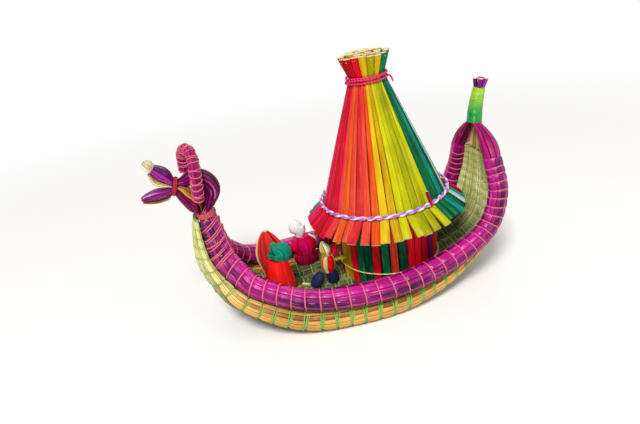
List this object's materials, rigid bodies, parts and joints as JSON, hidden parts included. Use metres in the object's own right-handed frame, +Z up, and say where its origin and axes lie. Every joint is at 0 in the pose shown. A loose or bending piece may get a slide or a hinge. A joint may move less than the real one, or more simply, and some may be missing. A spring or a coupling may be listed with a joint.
{
  "type": "miniature reed boat",
  "caption": "Handmade reed boat ornament with a lashed bundle hull, an animal head at the bow, a bound sleeve at the stern, a straw hut and straw dolls.",
  "frame": {"origin": "on the floor under the middle of the bounding box", "axes": "+X to the bow, +Y to port, +Z up"},
  "size_m": [0.2416, 0.1138, 0.1692],
  "materials": {
    "crimson_straw": "dyed flattened straw, glossy",
    "dark_purple_reed": "dyed reed strips, glossy",
    "gold_straw": "dyed flattened straw, glossy",
    "green_straw": "dyed flattened straw, glossy",
    "green_thread": "glossy thread wound close, emerald to lime",
    "lilac_thread": "two-ply twisted cord in white and purple",
    "lime_straw": "dyed flattened straw, glossy",
    "natural_reed": "dried reed, dull gloss, with green thread lashings",
    "navy_straw": "dyed folded straw",
    "orange_straw": "dyed flattened straw, glossy",
    "pale_reed": "undyed reed, pale cut ends",
    "pink_thread": "wound cotton thread",
    "purple_reed": "dyed reed strips, glossy, with pink thread lashings",
    "purple_straw": "dyed flattened straw, glossy",
    "red_straw": "dyed flattened straw, glossy",
    "red_thread": "wound cotton thread",
    "salmon_straw": "dyed flattened straw, glossy",
    "teal_straw": "dyed flattened straw, glossy",
    "white_straw": "bleached straw",
    "yellow_straw": "undyed yellow straw"
  },
  "bodies": {
    "root": {"doll_bow_cape": "red_straw", "doll_bow_shawl": "green_straw", "doll_bow_skirt": "red_straw", "doll_far_body": "crimson_straw", "doll_far_hat": "white_straw", "doll_far_skirt": "crimson_straw", "doll_hut_apron": "navy_straw", "doll_hut_arm": "lime_straw", "doll_hut_body": "orange_straw", "doll_hut_head": "lime_straw", "doll_hut_petal": "crimson_straw", "doll_hut_skirt": "navy_straw", "ear_loop": "pink_thread", "gunwale_port": "purple_reed", "gunwale_starboard": "purple_reed", "head_chin": "purple_reed", "head_crown": "dark_purple_reed", "head_straws": "yellow_straw", "jaw_linings": "yellow_straw", "jaw_tie": "red_thread", "lower_jaw": "purple_reed", "neck_tie": "red_thread", "reed_roll_inner_port": "natural_reed", "reed_roll_inner_starboard": "natural_reed", "reed_roll_middle_port": "natural_reed", "reed_roll_middle_starboard": "natural_reed", "reed_roll_outer_port": "natural_reed", "reed_roll_outer_starboard": "natural_reed", "roof_ring_cord": "lilac_thread", "roof_straws_crimson": "crimson_straw", "roof_straws_crimson_aft": "crimson_straw", "roof_straws_gold": "gold_straw", "roof_straws_green": "green_straw", "roof_straws_lime": "lime_straw", "roof_straws_orange": "orange_straw", "roof_straws_purple": "purple_straw", "roof_straws_salmon": "salmon_straw", "roof_straws_teal": "teal_straw", "roof_tie": "pink_thread", "snout_tip": "pale_reed", "stern_reeds_port": "purple_reed", "stern_reeds_starboard": "dark_purple_reed", "stern_sleeve": "green_thread", "stern_straws": "pale_reed", "stern_tuft": "dark_purple_reed", "top_straws_aft": "salmon_straw", "top_straws_gold": "gold_straw", "top_straws_green": "green_straw", "top_straws_inner": "lime_straw", "top_straws_red": "red_straw", "upper_jaw": "purple_reed", "wall_binding": "pink_thread", "wall_straws_coral": "salmon_straw", "wall_straws_gold": "gold_straw", "wall_straws_green": "green_straw", "wall_straws_purple": "purple_straw", "wall_straws_red": "red_straw"}
  },
  "joints": []
}
